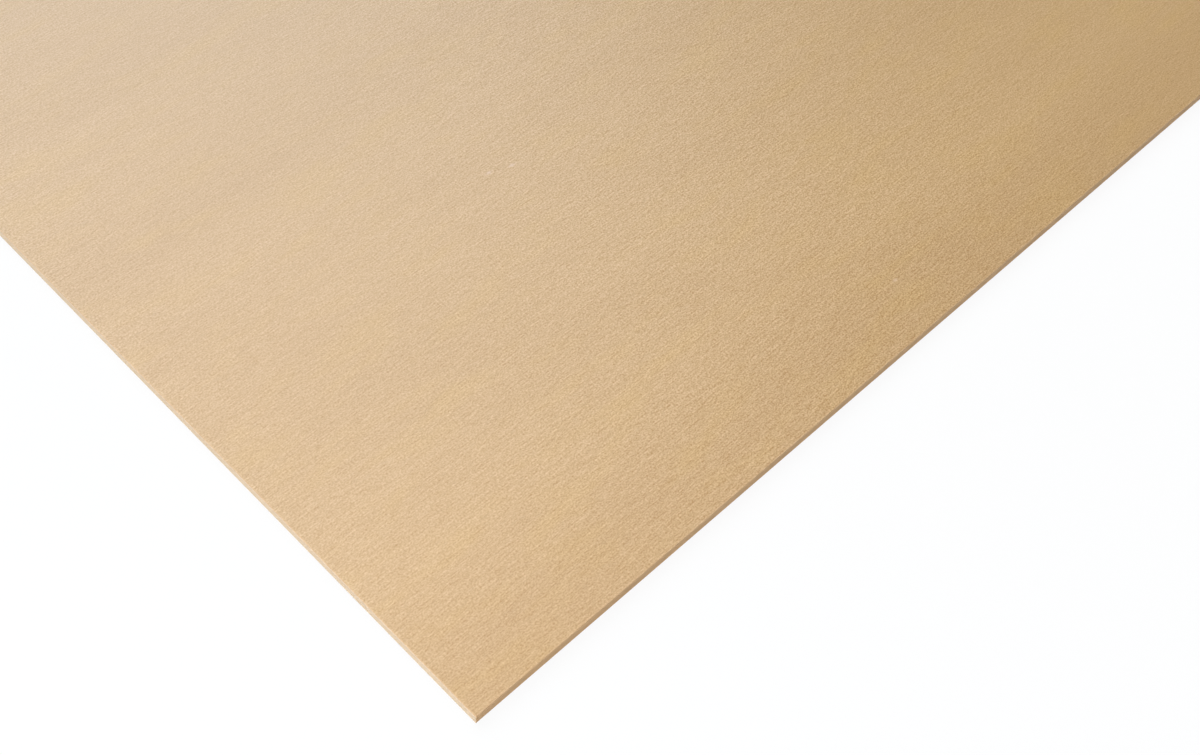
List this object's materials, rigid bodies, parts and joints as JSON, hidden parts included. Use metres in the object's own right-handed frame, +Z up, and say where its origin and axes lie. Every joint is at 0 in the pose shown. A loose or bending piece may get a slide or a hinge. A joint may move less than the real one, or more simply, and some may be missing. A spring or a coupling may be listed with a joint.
{
  "type": "plywood sheet",
  "caption": "Thin flat rectangular plywood sheet with pale sanded faces and square sawn edges, used as panel and lining stock.",
  "frame": {"origin": "middle of the underside, on the surface that the sheet lies on", "axes": "+X along the long side and the face grain, +Y across it along the short side, +Z up out of the front face"},
  "size_m": [1.22, 0.61, 0.004],
  "materials": {
    "plywood": "sanded, unsealed"
  },
  "bodies": {
    "root": {"plywood_sheet": "plywood"}
  },
  "joints": []
}
